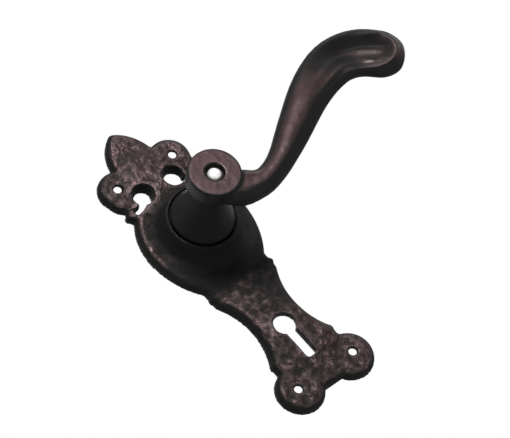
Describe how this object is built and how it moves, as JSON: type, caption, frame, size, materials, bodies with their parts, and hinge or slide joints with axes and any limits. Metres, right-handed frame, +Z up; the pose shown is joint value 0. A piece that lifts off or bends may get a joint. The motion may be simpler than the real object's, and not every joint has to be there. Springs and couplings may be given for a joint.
{
  "type": "lever door handle",
  "caption": "Sprung lever door handle on a hollow cast lock plate with a fleur-de-lis head, keyhole and domed collar; the curved arm ends in a scoop and turns a square spindle.",
  "frame": {"origin": "on the spindle's axis, in the plane of the door's face", "axes": "+X along the lever towards its tip, +Y into the door, +Z up the plate towards the fleur-de-lis head"},
  "size_m": [0.1392, 0.0838, 0.1559],
  "materials": {
    "plate_iron": "dark brown-black satin wax over a rough casting",
    "lever_iron": "dark brown-black satin, smoother than the plate",
    "bush_brass": "turned",
    "washer_plastic": "matt nylon",
    "spindle_steel": "bright zinc plating",
    "cam_steel": "plain pressed steel",
    "spring_steel": "oiled spring wire",
    "clip_steel": "blackened spring steel",
    "pin_steel": "ground steel",
    "cover_steel": "zinc-plated sheet",
    "screw_steel": "zinc plating"
  },
  "bodies": {
    "plate": {"backplate": "plate_iron", "neck_bush": "bush_brass", "thrust_washer": "washer_plastic", "return_spring": "spring_steel", "rest_stop_pin": "pin_steel", "travel_stop_pin": "pin_steel", "spring_cover": "cover_steel", "cover_screws": "screw_steel"},
    "lever": {"lever_handle": "lever_iron", "spindle": "spindle_steel", "drive_cam": "cam_steel", "retaining_washer": "cover_steel", "circlip": "clip_steel"}
  },
  "joints": [
    {"name": "lever_turn", "type": "hinge", "parent": "plate", "child": "lever", "pos_m": [0, 0, 0], "axis": [0, 1, 0], "range_deg": [0, 45], "stiffness_Nm_per_rad": 0.25, "springref_deg": -57.3, "deforming": ["return_spring"]}
  ]
}
